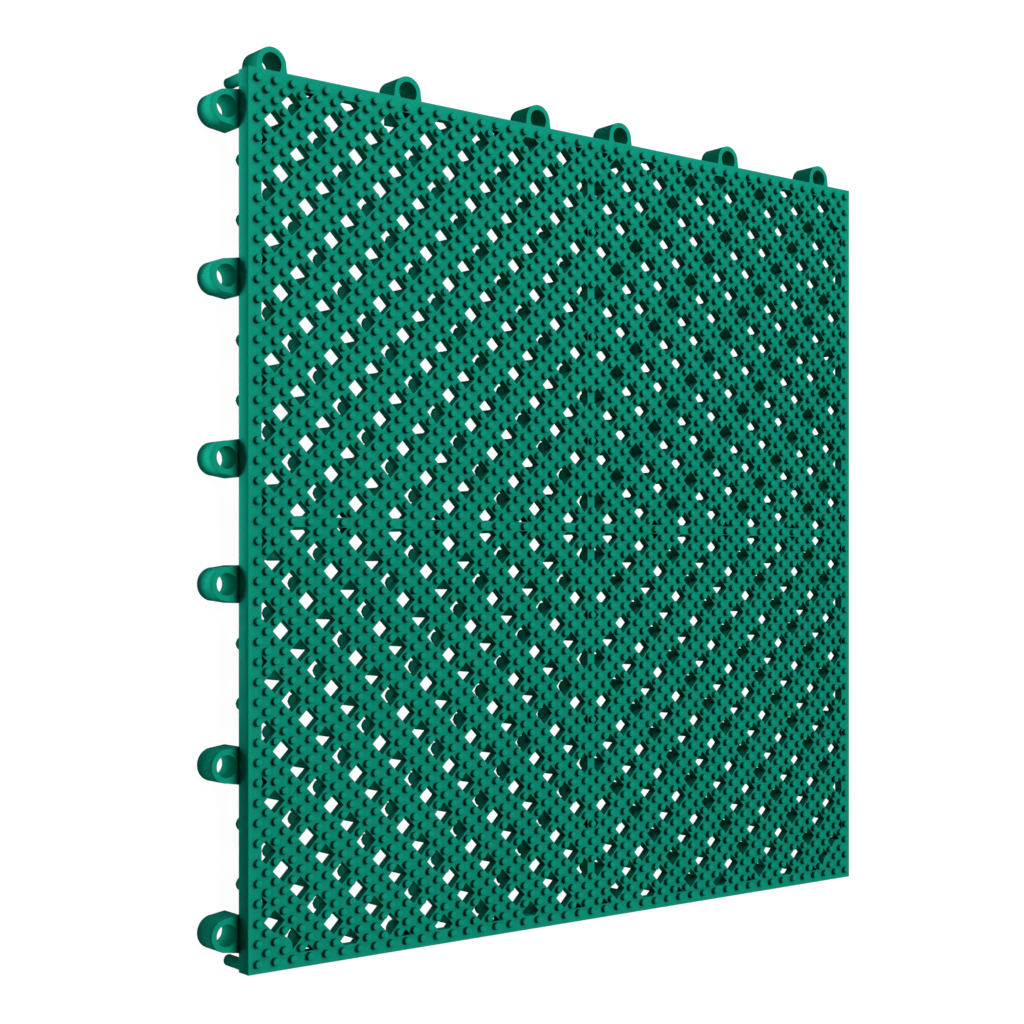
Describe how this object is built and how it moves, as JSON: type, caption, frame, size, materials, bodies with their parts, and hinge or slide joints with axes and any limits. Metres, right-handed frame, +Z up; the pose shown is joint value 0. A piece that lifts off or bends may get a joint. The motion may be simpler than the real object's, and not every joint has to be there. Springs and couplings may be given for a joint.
{
  "type": "drainage tile",
  "caption": "Square moulded floor tile: studded deck with diamond drain holes in chevrons, short feet below, and edge loops and pegs that lock tile to tile.",
  "frame": {"origin": "floor level, under the middle of the outline with its loops", "axes": "+Z up out of the walked-on face, -X the side of the first row of loops, +Y the side of the second row"},
  "size_m": [0.315, 0.315, 0.017],
  "materials": {
    "green_plastic": "moulded green plastic, satin"
  },
  "bodies": {
    "root": {"drainage_tile": "green_plastic"}
  },
  "joints": []
}
